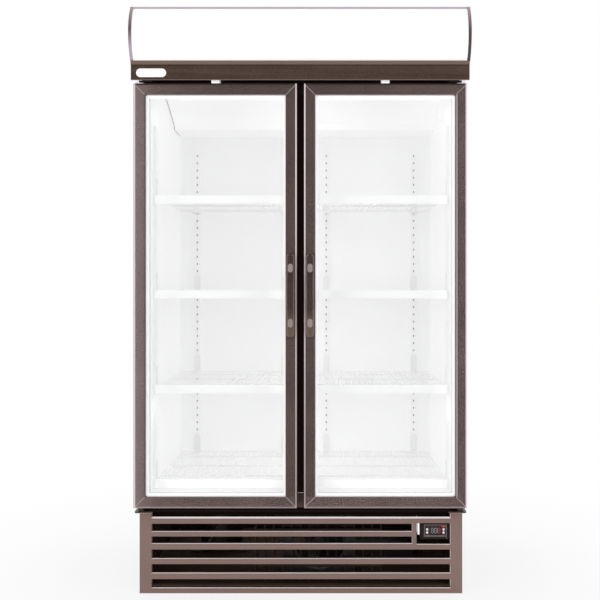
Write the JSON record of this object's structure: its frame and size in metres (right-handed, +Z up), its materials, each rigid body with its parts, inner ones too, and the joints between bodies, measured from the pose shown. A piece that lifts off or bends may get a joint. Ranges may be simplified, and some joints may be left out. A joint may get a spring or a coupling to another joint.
{
  "type": "double-door refrigerator",
  "caption": "Upright display cooler with hinged glass doors, bow handles, wire shelves, a curved light-box header and a slotted base grille with a controller.",
  "frame": {"origin": "on the floor under the middle of the bounding box", "axes": "+Z up, the doors face -Y, +X to the right as seen from the front"},
  "size_m": [1.142, 0.7499, 2],
  "materials": {
    "door_paint": "satin dark brown powder coat",
    "fascia_paint": "satin dark brown powder coat",
    "grille_paint": "satin taupe powder coat",
    "cabinet_paint": "satin dark brown coated sheet",
    "post_paint": "satin black",
    "liner_white": "gloss white coated sheet",
    "foam": "rigid closed-cell foam",
    "galvanised": "galvanised sheet",
    "zinc_steel": "zinc plated",
    "shelf_coat": "white plastic coating on wire",
    "strip_white": "gloss white extrusion",
    "glass": "clear float glass",
    "spacer_metal": "mill finish",
    "seal": "matt soft seal",
    "handle_plastic": "fine grain dark brown",
    "cap_plastic": "light grey",
    "nylon": "white nylon",
    "lens_white": "translucent white",
    "end_cap_plastic": "gloss mauve grey",
    "lamp_white": "frosted tube",
    "white_plastic": "white moulding",
    "black_paint": "black enamel",
    "fin_metal": "thin rolled fins",
    "copper": "drawn copper",
    "fan_plastic": "black moulding",
    "motor_paint": "grey enamel",
    "tray_plastic": "black moulding",
    "foot_plastic": "hard black polymer",
    "controller_grey": "grained dark grey",
    "display_black": "gloss smoked front",
    "button_white": "white keys"
  },
  "bodies": {
    "cabinet": {"base_frame": "galvanised", "levelling_feet": "foot_plastic", "compressor": "black_paint", "condenser_coil": "fin_metal", "fan_shroud": "galvanised", "fan_motors": "motor_paint", "drip_tray": "tray_plastic", "refrigerant_pipes": "copper", "rear_grille": "galvanised", "cable_gland": "foot_plastic", "front_grille": "grille_paint", "cabinet_shell": "cabinet_paint", "rear_panel": "galvanised", "foam_core": "foam", "inner_liner": "liner_white", "front_sill": "door_paint", "centre_mullion": "post_paint", "mullion_lamp": "lamp_white", "pilasters": "galvanised", "shelf_clips": "zinc_steel", "price_strips": "strip_white", "evaporator_cover": "liner_white", "evaporator_coil": "fin_metal", "header_case": "liner_white", "header_lens": "lens_white", "header_end_caps": "end_cap_plastic", "header_fascia": "fascia_paint", "light_tubes": "lamp_white", "lamp_holders": "white_plastic", "door_pads": "white_plastic", "top_hinges": "zinc_steel", "bottom_hinges": "zinc_steel", "controller_housing": "controller_grey", "controller_display": "display_black", "shelf_level_1": "shelf_coat", "shelf_level_2": "shelf_coat", "shelf_level_3": "shelf_coat", "shelf_level_4": "shelf_coat"},
    "left_door": {"left_stiles": "door_paint", "left_rails": "door_paint", "left_glass": "glass", "left_spacer": "spacer_metal", "left_gasket": "seal", "left_handle": "handle_plastic", "left_handle_caps": "cap_plastic", "left_bushes": "nylon"},
    "right_door": {"right_stiles": "door_paint", "right_rails": "door_paint", "right_glass": "glass", "right_spacer": "spacer_metal", "right_gasket": "seal", "right_handle": "handle_plastic", "right_handle_caps": "cap_plastic", "right_bushes": "nylon"},
    "condenser_wheel": {"condenser_fan": "fan_plastic"},
    "evaporator_wheel": {"evaporator_fan": "fan_plastic"},
    "upper_left_key": {"button_1": "button_white"},
    "lower_left_key": {"button_2": "button_white"},
    "upper_right_key": {"button_3": "button_white"},
    "lower_right_key": {"button_4": "button_white"}
  },
  "joints": [
    {"name": "left_door_hinge", "type": "hinge", "parent": "cabinet", "child": "left_door", "pos_m": [-0.542, -0.305, 1.029], "axis": [0, 0, -1], "range_deg": [0, 105]},
    {"name": "right_door_hinge", "type": "hinge", "parent": "cabinet", "child": "right_door", "pos_m": [0.542, -0.305, 1.029], "axis": [0, 0, 1], "range_deg": [0, 105]},
    {"name": "condenser_fan_spin", "type": "hinge", "parent": "cabinet", "child": "condenser_wheel", "pos_m": [0.06, -0.149, 0.146], "axis": [0, 1, 0], "continuous": true},
    {"name": "evaporator_fan_spin", "type": "hinge", "parent": "cabinet", "child": "evaporator_wheel", "pos_m": [0, -0.105, 1.79], "axis": [0, 0, 1], "continuous": true},
    {"name": "upper_left_key_press", "type": "slide", "parent": "cabinet", "child": "upper_left_key", "axis": [0, 1, 0], "range_m": [0, 0.0008], "stiffness_N_per_m": 300},
    {"name": "lower_left_key_press", "type": "slide", "parent": "cabinet", "child": "lower_left_key", "axis": [0, 1, 0], "range_m": [0, 0.0008], "stiffness_N_per_m": 300},
    {"name": "upper_right_key_press", "type": "slide", "parent": "cabinet", "child": "upper_right_key", "axis": [0, 1, 0], "range_m": [0, 0.0008], "stiffness_N_per_m": 300},
    {"name": "lower_right_key_press", "type": "slide", "parent": "cabinet", "child": "lower_right_key", "axis": [0, 1, 0], "range_m": [0, 0.0008], "stiffness_N_per_m": 300}
  ]
}
